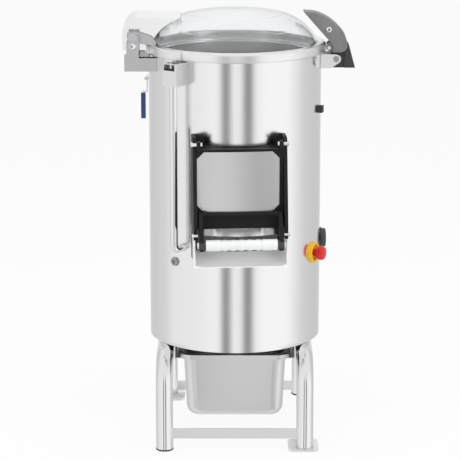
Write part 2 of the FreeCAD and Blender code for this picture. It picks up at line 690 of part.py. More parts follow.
shelf_top = arm_top - 2
shelf_pads = []
for index, side in enumerate((-1, 1)):
    near = 56 if side > 0 else -bracket_inner
    far = bracket_inner if side > 0 else -56
    tab_low = bracket_inner - 4 if side > 0 else -bracket_inner
    pad = box(f"shelf_pad_{index}", (4 - bracket_left, near, shelf_top - 4), (-150, far, shelf_top))
    tab = box(f"shelf_tab_{index}", (4 - bracket_left, tab_low, arm_bottom + 3), (8 - hinge_x, tab_low + 4, shelf_top))
    shelf_pads.append(cut(f"shelf_{index}", fuse(f"shelf_solid_{index}", pad, tab),
                          rod(f"shelf_drum_{index}", drum_radius + wall_cut, 60, 0, 0, arm_bottom - 10)))
node("hinge_shelf", group("hinge_shelf", *shelf_pads))

node("lid_hinge_pin", fuse("lid_hinge_pin",
                           rod("hinge_pin_bar", hinge_pin_radius, bracket_outer * 2 + 2, -hinge_x,
                               bracket_outer + 1, hinge_z, OUTWARD),
                           rod("hinge_pin_front_head", Size(10), 5, -hinge_x, -bracket_outer - fit_gap, hinge_z,
                               OUTWARD),
                           rod("hinge_pin_rear_head", Size(10), 5, -hinge_x, bracket_outer + fit_gap + 5, hinge_z,
                               OUTWARD)))


bolt_head = driving("bolt_head", 7)
front_bolt = rod("front_bracket_bolt", bolt_head, 4, -hinge_x, -bracket_outer, hinge_z - 22, OUTWARD)
rear_bolt = rod("rear_bracket_bolt", bolt_head, 4, -hinge_x, bracket_outer + 4, hinge_z - 22, OUTWARD)
node("hinge_brackets", group("hinge_brackets",
                             fuse("front_pair", hinge_bracket("front_bracket", -bracket_inner), front_bolt),
                             fuse("rear_pair", hinge_bracket("rear_bracket", bracket_outer), rear_bolt)))

arm_inner = driving("arm_inner", 71)
arm_gauge = driving("arm_gauge", 6)
knuckle_radius = driving("knuckle_radius", 11)
arm_outline = [(-hinge_x, hinge_z - 14), (-205, ring_top + 0.2), (-184, ring_top + 0.2), (-184, ring_top + 7),
               (-194, ring_top + 20), (-hinge_x, hinge_z + 14), (-hinge_x - 14, hinge_z + 5),
               (-hinge_x - 14, hinge_z - 5)]
arms = [plate(f"arm_{index}", "XZ_Plane", arm_outline, arm_gauge, 0, y)
        for index, y in enumerate((-arm_inner, arm_inner + arm_gauge))]
knuckle = rod("arm_knuckle", knuckle_radius, (arm_inner + arm_gauge + 4) * 2, -hinge_x, arm_inner + arm_gauge + 4,
              hinge_z, OUTWARD)
node("lid_arms", cut("lid_arms", fuse("arms_solid", knuckle, *arms),
                     rod("arms_bore", hinge_pin_radius + running_gap, 240, -hinge_x, 120, hinge_z, OUTWARD)))

cover_left = driving("cover_left", 262)
cover_top = driving("cover_top", 1002)
cover_bottom = driving("cover_bottom", 927)
cover_corner = driving("cover_corner", 34)
cover_right = driving("cover_right", 207)
cover_reach = driving("cover_reach", 128)


def cover_block(name, inset, half, lower):
    left = -cover_left + inset
    top = cover_top - inset
    outline = [(left, lower), (-cover_right, lower), (-cover_right, ring_top + 8), (-cover_reach, ring_top + 8),
               (-cover_reach, top), (left + cover_corner, top), (left, top - cover_corner, cover_corner)]
    return plate(name, "XZ_Plane", outline, half * 2, 0, half)


cover_shell = cut("cover_shell", cover_block("cover_outside", Size(0), cover_half, cover_bottom),
                  cover_block("cover_inside", cover_gauge, cover_half - cover_gauge, cover_bottom - 5))
cover_clear = Size(1.5)
dome_far = dome_base + cover_clear
dome_bend_z = ring_top + shoulder_rise + cover_clear * 0.8
dome_crown_z = ring_top + crown_rise + cover_clear
dome_arc = crown_radius + cover_clear
dome_side = [(Size(0), ring_top - 20), (Size(0), dome_crown_z + dome_arc - chord_depth(dome_arc, dome_crown)),
             (-dome_crown, dome_crown_z, dome_arc),
             (-dome_shoulder - cover_clear * 0.7, dome_bend_z, shoulder_radius + cover_clear),
             (-dome_far, ring_top, side_radius + cover_clear), (-dome_far, ring_top - 20)]
cover_dome = plate("cover_dome", "XZ_Plane", dome_side, 200, 0, 100)
knuckle_slot = rod("cover_knuckle_slot", knuckle_radius + fit_gap, 200, -hinge_x, 100, hinge_z, OUTWARD)
node("hinge_cover", cut("hinge_cover", cover_shell, cover_dome, knuckle_slot))

# Latch: ears and keeper studs on the drum; catch, core, shell and screw on the lid
ear_reach = Size(11.3)
ear_outline = [(190, ear_z - 21.5), (ear_x - 12, ear_z - 21.5), (ear_x + 8, ear_z - 8),
               (ear_x + 8, ear_z + 8, ear_reach), (ear_x, ear_z + 11.3), (190, ear_z + 11.3)]
ears = []
studs = []
for index, side in enumerate((-1, 1)):
    front = side * ear_gap if side < 0 else ear_gap + ear_gauge
    blank = plate(f"ear_blank_{index}", "XZ_Plane", ear_outline, ear_gauge, 0, front)
    ears.append(cut(f"ear_{index}", blank,
                    rod(f"ear_drum_{index}", drum_radius + fit_gap, 80, 0, 0, ear_z - 40),
                    rod(f"ear_bore_{index}", Size(5.02), 40, ear_x, side * ear_gap + 20, ear_z, OUTWARD)))
    inner = core_half - 3
    outer = ear_gap + ear_gauge
    stem = rod(f"stud_stem_{index}", Size(5), outer - inner, ear_x, outer if side > 0 else -inner, ear_z, OUTWARD)
    head = rod(f"stud_head_{index}", Size(7), 3, ear_x, outer + 3 if side > 0 else -outer, ear_z, OUTWARD)
    studs.append(fuse(f"stud_{index}", stem, head))
node("latch_ears", group("latch_ears", *ears))
node("keeper_studs", group("keeper_studs", *studs))

catch_half = driving("catch_half", 9)
catch_outline = [(ring_radius - 1, latch_z - 6), (latch_x + 3, latch_z - 6), (latch_x + 6, latch_z - 3),
                 (latch_x + 6, latch_z + 6), (latch_x + 2, latch_z + 9), (ring_radius - 1, ring_top - 8)]
catch_blank = plate("catch_blank", "XZ_Plane", catch_outline, catch_half * 2, 0, catch_half)
catch_pin = rod("catch_pin", latch_pin_radius, core_half * 2, latch_x, core_half, latch_z, OUTWARD)
node("lid_catch", cut("lid_catch", fuse("catch_solid", catch_blank, catch_pin),
                      rod("catch_ring", ring_radius + 0.1, 60, 0, 0, ring_bottom - 20)))

core_left = ear_x - 11
knuckle_right = ear_x - 2.4
knuckle_low = latch_z - 10
core_outline = [(core_left, ear_z - 22), (ear_x + 45, ear_z - 22), (ear_x + 30, ear_z + 33),
                (ear_x + 6, ear_z + 58), (knuckle_right + fit_gap, ear_z + 50),
                (knuckle_right + fit_gap, knuckle_low - fit_gap), (core_left, knuckle_low - fit_gap)]
core_blank = plate("core_blank", "XZ_Plane", core_outline, core_half * 2, 0, core_half)
pockets = [box(f"core_pocket_{index}", (ear_x - 20, low, ear_z - 40), (ear_x + 20, high, ear_z + 16))
           for index, (low, high) in enumerate(((-core_half - 1, 4 - core_half), (core_half - 4, core_half + 1)))]
node("latch_core", cut("latch_core", core_blank, *pockets))

# The steel knuckle on the catch's pin carries the crescent shell and, through two spacers, the core
knuckle_outline = [(latch_x - 5.5, latch_z + 9), (latch_x - 5.5, latch_z - 3.5), (latch_x + 3, knuckle_low),
                   (knuckle_right, knuckle_low), (knuckle_right, latch_z + 19), (ear_x - 8, latch_z + 19)]
knuckle_blank = plate("latch_knuckle_blank", "XZ_Plane", knuckle_outline, core_half * 2, 0, core_half)
catch_slot = box("catch_slot", (latch_x - 20, -catch_half - 0.5, latch_z - 24),
                 (latch_x + 12, catch_half + 0.5, latch_z + 60))
latch_knuckle = cut("latch_knuckle", knuckle_blank, catch_slot,
                    rod("latch_bore", latch_pin_radius + running_gap, 60, latch_x, 30, latch_z, OUTWARD))


def crescent(name, inset, half):
    """The latch shell's side outline: a straight edge along the dome and a long outer arc."""
    outline = [(231 + inset, 915 + inset), (249 - inset, 915 + inset), (265 - inset, 930, Size(17)),
               (249 - inset, 969, Size(60)), (224 - inset, 992 - inset, Size(150)), (187, 1009 - inset, Size(120)),
               (161 + inset * 2, 1011 - inset), (231 + inset, 932 + inset)]
    return plate(name, "XZ_Plane", outline, half * 2, 0, half)


shell_skin = cut("crescent_skin", crescent("crescent_outside", Size(0), shell_half),
                 crescent("crescent_inside", shell_gauge, shell_half - shell_gauge))
mouth_half = shell_half - shell_gauge
shell_mouth = plate("shell_mouth", "XZ_Plane", [(150, 905), (290, 905), (290, 944), (240, 944), (178, 1000),
                                                (150, 1000)], mouth_half * 2, 0, mouth_half)
screw_x = Size(221)
screw_z = Size(969)
screw_parts = [rod("screw_bar", Size(4), shell_half * 2, screw_x, shell_half, screw_z, OUTWARD),
               rod("screw_head", Size(6), 2, screw_x, -shell_half, screw_z, OUTWARD),
               rod("screw_nut", Size(6), 2, screw_x, shell_half + 2, screw_z, OUTWARD)]
spacers = []
for label, radius, x, z, sunk in (("knuckle", Size(3), Size(232.5), Size(936), 1), ("core", Size(5), Size(248),
                                                                                   Size(938), 0)):
    reach = mouth_half - core_half + sunk
    for index, start in enumerate((sunk - core_half, mouth_half)):
        spacers.append(rod(f"{label}_spacer_{index}", radius, reach, x, start, z, OUTWARD))
node("latch_shell", fuse("latch_shell", cut("shell_open", shell_skin, shell_mouth), latch_knuckle, *screw_parts,
                         *spacers))

buffer_turn = driving("buffer_turn", 75)
buffer_blank = box("buffer_blank", (-8.5, -drum_radius - 10.5, 778), (8.5, -drum_radius + 10, 794))
node("rubber_buffer", around(cut("rubber_buffer", buffer_blank,
                                 rod("buffer_drum", drum_radius + 0.2, 60, 0, 0, 760)), buffer_turn))

# Discharge frame and trough, built facing -Y and then turned about the drum's axis
cheek_inner = cheek_half - cheek_gauge
side_outline = [(-trough_reach, 520), (-trough_reach, 546), (-226, 745), (-214, frame_top), (-150, frame_top),
                (-150, neck_top), (-120, neck_top), (-120, trough_rear - 18), (-200, trough_rear - 18),
                (-200, 520)]
cheeks = [plate(f"cheek_{index}", "YZ_Plane", side_outline, cheek_gauge, x)
          for index, x in enumerate((door_shift - cheek_half, door_shift + cheek_inner))]
lintel = box("lintel", (door_shift - cheek_half, -drum_inner, neck_top - 7),
             (door_shift + cheek_half, -120, neck_top))
sill = box("sill", (door_shift - cheek_half, -194, trough_rear - 12), (door_shift + cheek_half, -120, trough_rear - 2))
sill_inside = doc.addObject("Part::Common", "sill_inside")
sill_inside.Base = sill
sill_inside.Tool = rod("sill_reach", drum_radius, 60, 0, 0, trough_rear - 40)
frame_solid = fuse("frame_solid", *cheeks, lintel, sill_inside)
catch_out = Size(259)
catch_z = Size(530)
pin_holes = [rod("frame_hinge_bore", Size(5.02), 240, door_shift - 120, -door_hinge_out, door_hinge_z, ALONG_X),
             rod("frame_catch_bore", Size(4.02), 240, door_shift - 120, -catch_out, catch_z, ALONG_X)]
wall_ring = tube("frame_wall_ring", drum_radius + fit_gap, tub_outer, neck_top, frame_top + 5)
frame_cut = cut("frame_cut", frame_solid, rod("frame_tub", tub_outer + fit_gap, 400, 0, 0, 400), wall_ring,
                *pin_holes)
node("chute_frame", around(group("chute_frame", frame_cut), door_turn))

trough_profile = [(-trough_reach, trough_lip - 2), (-205, trough_rear - 8), (-180, trough_rear - 2),
                  (-180, trough_rear), (-205, trough_rear), (-trough_reach, trough_lip)]
trough_floor = plate("trough_floor", "YZ_Plane", trough_profile, cheek_inner * 2, door_shift - cheek_inner)
wall_profile = [(-trough_reach, trough_lip - 2), (-trough_reach, 519.7), (-200.5, 519.7),
                (-200.5, trough_rear - 18.3), (-150, trough_rear - 18.3), (-150, trough_rear - 32)]
trough_walls = [plate(f"trough_wall_{index}", "YZ_Plane", wall_profile, 3, x)
                for index, x in enumerate((door_shift - cheek_half + 0.5, door_shift + cheek_half - 3.5))]
trough_ribs = [plate(f"trough_rib_{index}", "YZ_Plane",
                     [(-trough_reach, trough_lip - 2), (-205, trough_rear - 4), (-205, trough_rear + 1),
                      (-trough_reach, trough_lip + 3)], cheek_gauge + 2, x)
               for index, x in enumerate((door_shift - cheek_half + 1, door_shift + cheek_inner - 3))]
trough_cut = cut("trough_cut", fuse("trough_solid", trough_floor, *trough_walls, *trough_ribs),
                 rod("trough_drum", drum_radius + fit_gap, 200, 0, 0, 400))
node("chute_trough", around(group("chute_trough", trough_cut), door_turn))

door_half = cheek_inner - 0.8
door_blank = box("door_blank", (door_shift - door_half, -door_outer, door_bottom),
                 (door_shift + door_half, -door_inner, door_top))
door_ears = [box(f"door_ear_{index}", (x, -door_outer - 3, door_top - 5), (x + 9, -door_inner - 3, door_hinge_z + 7))
             for index, x in enumerate((door_shift - door_half, door_shift + door_half - 9))]
door_cut = cut("door_cut", fuse("door_eared", door_blank, *door_ears),
               rod("door_hinge_bore", Size(5) + running_gap, 240, door_shift - 120, -door_hinge_out, door_hinge_z,
                   ALONG_X))
lugs = [fuse(f"lug_{index}",
             box(f"lug_block_{index}", (x, -handle_out, handle_z - 9), (x + 8, -door_outer, handle_z + 3.5)),
             rod(f"lug_eye_{index}", lug_radius, 8, x, -handle_out, handle_z, ALONG_X))
        for index, x in enumerate((door_shift - arm_out + 5, door_shift + arm_out - 13))]
lug_cut = cut("lug_cut", fuse("lugs_joined", *lugs), rod("lug_bore", axle_radius + running_gap, 240,
                                                         door_shift - 120, -handle_out, handle_z, ALONG_X))
node("door_body", around(fuse("door_body", door_cut, lug_cut), door_turn))
panel_middle = door_shift + panel_shift
panel_outline = chamfered(panel_middle - panel_half, panel_bottom, panel_middle + panel_half, panel_top, Size(16))
node("door_panel", around(group("door_panel", plate("panel_blank", "XZ_Plane", panel_outline, 2, 0,
                                                    -door_outer)), door_turn))
skin_half = panel_half - 1.5
skin_low = driving("skin_bottom", 512)
skin_tube = tube("skin_tube", drum_radius - 4, drum_radius - 6, skin_low, throat_top - 10)
skin_window = box("skin_window", (door_shift - skin_half, -drum_radius - 5, skin_low - 5),
                  (door_shift + skin_half, -100, throat_top))
skin_sheet = doc.addObject("Part::Common", "skin_sheet")
skin_sheet.Base = skin_tube
skin_sheet.Tool = skin_window
skin_ribs = [box(f"skin_rib_{index}", (x, -door_inner, door_bottom + 6), (x + 6, -150, 700))
             for index, x in enumerate((door_shift - 60, door_shift - 3, door_shift + 54))]
skin_solid = cut("skin_solid", fuse("skin_joined", skin_sheet, *skin_ribs),
                 rod("skin_clear", drum_radius - 6, 400, 0, 0, 400))
node("door_skin", around(group("door_skin", skin_solid), door_turn))
pin_list = []
for index, side in enumerate((-1, 1)):
    for label, radius, out, z, reach in (("hinge", Size(5), door_hinge_out, door_hinge_z, 22),
                                         ("catch", Size(4), catch_out, catch_z, 9)):
        edge = door_shift + side * cheek_half
        start = edge if side < 0 else edge - reach
        stem = rod(f"{label}_stem_{index}", radius, reach, start, -out, z, ALONG_X)
        head = rod(f"{label}_head_{index}", radius + 1.5, 4, edge if side > 0 else edge - 4, -out, z, ALONG_X)
        pin_list.append(fuse(f"{label}_pin_{index}", stem, head))
node("door_pins", around(group("door_pins", *pin_list), door_turn))

eye_radius = handle_out - door_outer - 2.5
arm_side = [(-handle_out, handle_z + eye_radius), (-handle_out + eye_radius, handle_z, -eye_radius),
            (-handle_out + eye_radius, handle_z - 12), (-grip_out + 12, grip_z - 4), (-grip_out, grip_z - 15),
            (-grip_out - 9, grip_z - 10), (-grip_out - 9, grip_z + 8), (-handle_out - 9, handle_z + 3)]
handle_arms = [plate(f"handle_arm_{index}", "YZ_Plane", arm_side, 9, x)
               for index, x in enumerate((door_shift - arm_out - 4.5, door_shift + arm_out - 4.5))]
handle_axle = rod("handle_axle", axle_radius, (arm_out + 4.5) * 2, door_shift - arm_out - 4.5, -handle_out, handle_z,
                  ALONG_X)
arm_cut = cut("arms_cut", fuse("arms_joined", *handle_arms, handle_axle),
              rod("arms_grip_bore", Size(7.02), 240, door_shift - 120, -grip_out, grip_z, ALONG_X))
node("handle_arms", around(group("handle_arms", arm_cut), door_turn))
grip_core = rod("grip_core", grip_radius, grip_half * 2, door_shift - grip_half, -grip_out, grip_z, ALONG_X)
grip_rod = rod("grip_rod", Size(7), 203, door_shift - 101.5, -grip_out, grip_z, ALONG_X)
node("handle_grip", around(group("handle_grip", fuse("grip_solid", grip_core, grip_rod)), door_turn))
sleeve_list = []
for index, side in enumerate((-1, 1)):
    near = door_shift + side * (grip_half + fit_gap)
    far = door_shift + side * (arm_out - 4.8)
    low, high = (far, near) if side < 0 else (near, far)
    outside = rod(f"sleeve_{index}_out", Size(12.5), high - low, low, -grip_out, grip_z, ALONG_X)
    bore = rod(f"sleeve_{index}_bore", Size(7.1), high - low + 2, low - 1, -grip_out, grip_z, ALONG_X)
    sleeve_list.append(cut(f"sleeve_{index}", outside, bore))
node("grip_sleeves", around(group("grip_sleeves", *sleeve_list), door_turn))

# Safety switch: box with a window and an open slot on top, the microswitch, and the lid's actuator
box_half = box_width / 2
box_far = drum_radius + box_reach
box_top = box_bottom + box_height
box_blank = box("switch_blank", (-box_half, -box_far, box_bottom), (box_half, -drum_radius + 20, box_top))
box_hollow = box("switch_hollow", (2 - box_half, 2 - box_far, box_bottom + 2),
                 (box_half - 2, -drum_radius - 3, box_top - 2))
box_slot = box("switch_slot", (-16, -box_far + 4, box_top - 5), (14, -box_far + 30, box_top + 5))
box_window = box("switch_window", (-17, -box_far - 2, box_top - 16.5), (14, -box_far + 5, box_top - 2))
switch_cut = cut("switch_cut", box_blank, box_hollow, box_slot, box_window,
                 rod("switch_drum", drum_radius + 0.1, 120, 0, 0, box_bottom - 20))
node("switch_box", around(group("switch_box", switch_cut), switch_turn))
micro = box("micro_block", (-14, -box_far + 9, box_bottom + 2), (14, -drum_radius - 5, box_bottom + 26))
node("lid_microswitch", around(group("lid_microswitch", micro), switch_turn))
lug_turn = driving("actuator_turn", -38.2)
lug_box = box("actuator_lug", (-14, -ring_radius - 3, ring_bottom + 1), (14, -ring_radius + 12, ring_top - 1))
lug_foot = box("actuator_foot", (-7, -ring_radius - 25, ring_bottom + 1), (7, -ring_radius - 1, ring_bottom + 5))
lug_rod = rod("actuator_rod", Size(3.5), 17, 0, -ring_radius - 20, ring_bottom - 15)
actuator = cut("actuator_cut", fuse("actuator_solid", lug_box, lug_foot, lug_rod),
               rod("actuator_ring", ring_radius + 0.1, 60, 0, 0, ring_bottom - 20))
node("lid_actuator", around(group("lid_actuator", actuator), lug_turn))

conduit_in = driving("conduit_inside", 190)
conduit_bore = conduit_radius - 1.5


def conduit_solid(name, radius, extra):
    elbow_centre = conduit_out - conduit_bend
    return fuse(name,
                rod(name + "_tube", radius, box_bottom - elbow_z - conduit_bend + extra, 0, -conduit_out,
                    elbow_z + conduit_bend),
                bend(name + "_bend", radius, conduit_bend, 0, -elbow_centre, elbow_z + conduit_bend,
                     FRONT_TO_UNDER),
                rod(name + "_run", radius, elbow_centre - conduit_in + extra, 0, extra - conduit_in, elbow_z,
                    OUTWARD))


conduit_cut = cut("conduit_cut", conduit_solid("conduit_outside", conduit_radius, Size(0)),
                  conduit_solid("conduit_hollow", conduit_bore, Size(1)))
node("switch_conduit", around(group("switch_conduit", conduit_cut), switch_turn))
plug_solid = fuse("plug_solid", rod("plug_head", Size(11), 5, 0, -drum_radius - 0.2, plug_z, OUTWARD),
                  rod("plug_shank", plug_stem, 20, 0, 16 - drum_radius, plug_z, OUTWARD))
node("wall_plug", around(group("wall_plug", plug_solid), plug_turn))

# Controls on the right of the drum
collar_face = drum_radius + 7
collar_blank = rod("collar_blank", stop_collar_radius, 22, 0, -drum_radius + 15, stop_z, OUTWARD)
collar_cut = cut("collar_cut", collar_blank,
                 rod("collar_drum", drum_radius + 0.2, 120, 0, 0, stop_z - 60),
                 rod("collar_bore", spindle_radius + running_gap, 60, 0, -drum_radius + 20, stop_z, OUTWARD))
node("stop_collar", around(group("stop_collar", collar_cut), stop_turn))
button_head = rod("button_head", button_radius, 16, 0, -collar_face - 8, stop_z, OUTWARD)
button_neck = rod("button_neck", Size(12), 3, 0, -collar_face - 6, stop_z, OUTWARD)
stem_end = drum_inner - 5.5
button_stem = rod("button_stem", spindle_radius, collar_face + 7 - stem_end, 0, -stem_end, stop_z, OUTWARD)
node("stop_button", around(group("stop_button", fuse("button_solid", button_head, button_neck, button_stem)),
                           stop_turn))
knob_face = drum_radius + 1.5
knob_head = rod("knob_head", timer_radius, 13.5, 0, -knob_face, timer_z, OUTWARD)
knob_stem = rod("knob_stem", spindle_radius, knob_face + 1 - stem_end, 0, -stem_end, timer_z, OUTWARD)
knob_pointer = box("knob_pointer", (-2, -knob_face - 15, timer_z), (2, -knob_face - 10, timer_z + timer_radius - 3))
node("timer_knob", around(group("timer_knob", fuse("knob_solid", knob_head, knob_stem, knob_pointer)), timer_turn))


def contact_block(name, z, angle):
    """A switch block behind the drum's wall, in the gap beside the tub, on two side tabs."""
    face = stem_end - 7
    block = box(name + "_block", (-14, -face, z - 18), (14, 11 - face, z + 18))
    tabs = [box(f"{name}_tab_{index}", (low, -drum_inner + 1.2, z - 18), (low + 3, -face, z + 18))
            for index, low in enumerate((-14, 11))]
    return around(group(name, fuse(name + "_solid", block, *tabs)), angle)


node("control_contacts", group("control_contacts", contact_block("stop_contacts", stop_z, stop_turn),
                               contact_block("timer_contacts", timer_z, timer_turn)))

# Water inlet: ball valve on the pipe, with a lever that hangs down when it is shut
valve_y = pipe_y + 12
valve_parts = [rod("valve_barrel", Size(17), 44, -pipe_x, valve_y + 22, pipe_z, OUTWARD),
               rod("valve_nut", Size(14), 12, -pipe_x, valve_y + 34, pipe_z, OUTWARD),
               rod("valve_bonnet", Size(10), 26, -pipe_x - 36, valve_y, pipe_z, ALONG_X)]
valve_stem_end = rod("valve_stem", Size(4), lever_x + 8 - pipe_x, -lever_x - 8, valve_y, pipe_z, ALONG_X)
inlet_pipe = rod("inlet_pipe", pipe_radius, pipe_length, -pipe_x, pipe_y, pipe_z, OUTWARD)
pipe_bore = rod("pipe_bore", pipe_radius - 2.5, pipe_length + 60, -pipe_x, valve_y + 40, pipe_z, OUTWARD)
node("valve_body", cut("valve_body", fuse("valve_solid", *valve_parts, valve_stem_end, inlet_pipe), pipe_bore))
lever_outline = [(-12, 9), (12, 9), (12, -10), (6, -16), (6, -30), (-6, -30), (-6, -16), (-12, -10)]
lever_plate = plate("lever_plate", "YZ_Plane", lever_outline, 3, -lever_x - 3, valve_y, pipe_z)
lever_step = box("lever_step", (-grip_x - 4, valve_y - 6, pipe_z - 33), (-lever_x, valve_y + 6, pipe_z - 30))
lever_tail = box("lever_tail", (-grip_x - 4, valve_y - 5, pipe_z - 84), (-grip_x - 1, valve_y + 5, pipe_z - 30))
lever_bore = rod("lever_bore", Size(4) + running_gap, 20, -lever_x - 10, valve_y, pipe_z, ALONG_X)
node("valve_lever", cut("valve_lever", fuse("lever_solid", lever_plate, lever_step, lever_tail), lever_bore))
sleeve_blank = box("lever_grip_blank", (-grip_x - 8, valve_y - 9, pipe_z - 98),
                   (3 - grip_x, valve_y + 9, pipe_z - 36))
sleeve_slot = box("lever_grip_slot", (-grip_x - 4.1, valve_y - 5.1, pipe_z - 84.2),
                  (-grip_x - 0.9, valve_y + 5.1, pipe_z - 30))
node("valve_grip", cut("valve_grip", sleeve_blank, sleeve_slot))

# Supply inlet at the back of the motor compartment
gland_parts = [rod("gland_collar", Size(15), 8, 0, -drum_radius - 0.2, gland_z, OUTWARD),
               rod("gland_cap", Size(12), 12, 0, -drum_radius - 8, gland_z, OUTWARD),
               rod("gland_stem", gland_radius, 26, 0, 18 - drum_radius, gland_z, OUTWARD)]
gland_cut = cut("gland_cut", fuse("gland_solid", *gland_parts),
                rod("gland_bore", Size(5), 60, 0, 30 - drum_radius, gland_z, OUTWARD))
node("cable_gland", around(group("cable_gland", gland_cut), gland_turn))

doc.recompute()
failed = [thing.Name for thing in doc.Objects if {"Invalid", "Error"} & set(thing.State)]
bad = [thing.Label for thing in nodes if thing.Shape.isNull() or not thing.Shape.isValid()]
if failed or bad:
    raise SystemExit(f"failed objects: {failed}, bad shapes: {bad}")
os.makedirs("parts", exist_ok=True)
for thing in nodes:
    solids = len(thing.Shape.Solids)
    print(f"{thing.Label}: {solids} solids, {thing.Shape.Volume / 1000:.1f} cm3")
    thing.Shape.exportStep(f"parts/{thing.Label}.step")
print(len(nodes), "sub-parts")
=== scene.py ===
import bmesh
import bpy
import math
from mathutils import Matrix, Vector


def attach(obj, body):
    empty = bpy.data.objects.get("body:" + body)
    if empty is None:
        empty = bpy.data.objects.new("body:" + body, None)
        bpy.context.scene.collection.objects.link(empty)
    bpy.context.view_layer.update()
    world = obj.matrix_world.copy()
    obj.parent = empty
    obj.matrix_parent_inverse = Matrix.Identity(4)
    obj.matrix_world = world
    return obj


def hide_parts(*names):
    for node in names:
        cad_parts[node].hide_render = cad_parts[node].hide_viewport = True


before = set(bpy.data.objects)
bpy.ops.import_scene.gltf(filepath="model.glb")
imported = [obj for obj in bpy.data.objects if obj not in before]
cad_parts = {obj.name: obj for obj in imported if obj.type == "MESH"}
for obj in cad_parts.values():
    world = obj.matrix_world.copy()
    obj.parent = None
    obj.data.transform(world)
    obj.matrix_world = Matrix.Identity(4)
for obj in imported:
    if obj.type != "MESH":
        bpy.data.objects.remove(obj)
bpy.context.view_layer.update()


# Pale sweep of paper under and behind the machine, lit softly from above and from both sides. Two
# narrow gaps between the light panels show as grey bars down the steel.
class Socket:
    """A value in a shader: arithmetic on it adds the Math nodes that do the sum."""

    def __init__(self, paint, source):
        self.paint = paint
        self.source = source

    def _sum(self, operation, first, second):
        return self.paint.node("ShaderNodeMath", {"operation": operation}, first, second)

    def __add__(self, other):
        return self._sum("ADD", self, other)

    def __sub__(self, other):
        return self._sum("SUBTRACT", self, other)

    def __mul__(self, other):
        return self._sum("MULTIPLY", self, other)

    def __truediv__(self, other):
        return self._sum("DIVIDE", self, other)

    def __rsub__(self, other):
        return self._sum("SUBTRACT", other, self)


class Paint:
    """One material and its nodes."""

    def __init__(self, name, tree=None):
        if tree is None:
            self.material = bpy.data.materials.new(name)
            self.material.use_nodes = True
            tree = self.material.node_tree
        self.tree = tree
        self.tree.nodes.clear()

    def node(self, kind, settings=None, *values, output=0, **named):
        """Adds a node, fills its sockets by place or by name, and gives one of its outputs."""
        made = self.tree.nodes.new(kind)
        for key, setting in (settings or {}).items():
            if key == "stops":
                self._stops(made.color_ramp, setting)
            else:
                setattr(made, key, setting)
        for index, value in enumerate(values):
            self._put(made.inputs[index], value)
        for key, value in named.items():
            self._put(made.inputs[key.replace("_", " ")], value)
        return Socket(self, made.outputs[output]) if made.outputs else None

    def _stops(self, ramp, stops):
        while len(ramp.elements) > 1:
            ramp.elements.remove(ramp.elements[-1])
        for index, (place, shade) in enumerate(stops):
            stop = ramp.elements[0] if index == 0 else ramp.elements.new(place)
            stop.position = place
            stop.color = (shade, shade, shade, 1)

    def _put(self, socket, value):
        if value is None:
            return
        if isinstance(value, Socket):
            self.tree.links.new(value.source, socket)
        elif isinstance(value, (tuple, list)) and len(value) == 3 and socket.type == "RGBA":
            socket.default_value = (*value, 1)
        else:
            socket.default_value = value

    def ray(self, kind):
        """One for a ray of this kind and nought for any other."""
        return Socket(self, self.node("ShaderNodeLightPath").source.node.outputs[kind])

    def place(self, stretch):
        """The piece's own coordinates, stretched for a pattern."""
        here = self.node("ShaderNodeTexCoord", output=3)
        return self.node("ShaderNodeMapping", None, here, (0, 0, 0), (0, 0, 0), stretch)

    def noise(self, at, scale, detail=3, rough=0.5):
        return self.node("ShaderNodeTexNoise", None, Vector=at, Scale=scale, Detail=detail,
                         Roughness=rough)

    def ramp(self, value, *stops):
        return self.node("ShaderNodeValToRGB", {"stops": stops}, value)

    def mix(self, factor, first, second):
        """Blends two colours. The node keeps its factor in socket 0 and its colours in 6 and 7."""
        made = self.node("ShaderNodeMix", {"data_type": "RGBA"}, output=2)
        for index, value in ((0, factor), (6, first), (7, second)):
            self._put(made.source.node.inputs[index], value)
        return made

    def bump(self, height, strength, distance):
        return self.node("ShaderNodeBump", None, Strength=strength, Distance=distance, Height=height)

    def surface(self, **values):
        shader = self.node("ShaderNodeBsdfPrincipled", None, **values)
        self.node("ShaderNodeOutputMaterial", None, shader)
        return self.material


FLOOR_REACH = 14
floor_mesh = bpy.data.meshes.new("floor")
form = bmesh.new()
bmesh.ops.create_grid(form, x_segments=1, y_segments=1, size=FLOOR_REACH)
form.to_mesh(floor_mesh)
form.free()
floor = bpy.data.objects.new("floor", floor_mesh)
bpy.context.scene.collection.objects.link(floor)
floor.visible_glossy = False
GLOW = 0.9
paper = Paint("paper")
looked_at = paper.ray("Is Camera Ray") + paper.ray("Is Transmission Ray")
seen = paper.node("ShaderNodeMath", {"operation": "MINIMUM"}, looked_at, 1.0)
grain = paper.noise(paper.place((2, 2, 2)), 3, 2)
fibre = paper.mix(grain, (0.86, 0.86, 0.86), (0.9, 0.9, 0.9))
matt = paper.node("ShaderNodeBsdfDiffuse", None, fibre)
white = paper.node("ShaderNodeEmission", None, (1, 1, 1), 1.0)
sheet = paper.node("ShaderNodeMixShader", None, seen * GLOW, matt, white)
paper.node("ShaderNodeOutputMaterial", None, sheet)
floor.data.materials.append(paper.material)


def panel(name, at, aim, size, power):
    """A soft light panel."""
    data = bpy.data.lights.new(name, "AREA")
    data.shape = "RECTANGLE"
    data.size, data.size_y = size
    data.energy = power
    lamp = bpy.data.objects.new(name, data)
    lamp.location = at
    lamp.rotation_euler = (Vector(aim) - Vector(at)).to_track_quat("-Z", "Y").to_euler()
    bpy.context.scene.collection.objects.link(lamp)
    lamp.visible_glossy = False


panel("top_panel", (0, -0.6, 3.4), (0, 0, 0.6), (3.0, 3.0), 42)
panel("left_panel", (-3.2, -2.4, 1.8), (0, 0, 0.6), (2.0, 2.6), 40)
panel("right_panel", (3.2, -2.6, 1.8), (0, 0, 0.6), (2.0, 2.6), 46)

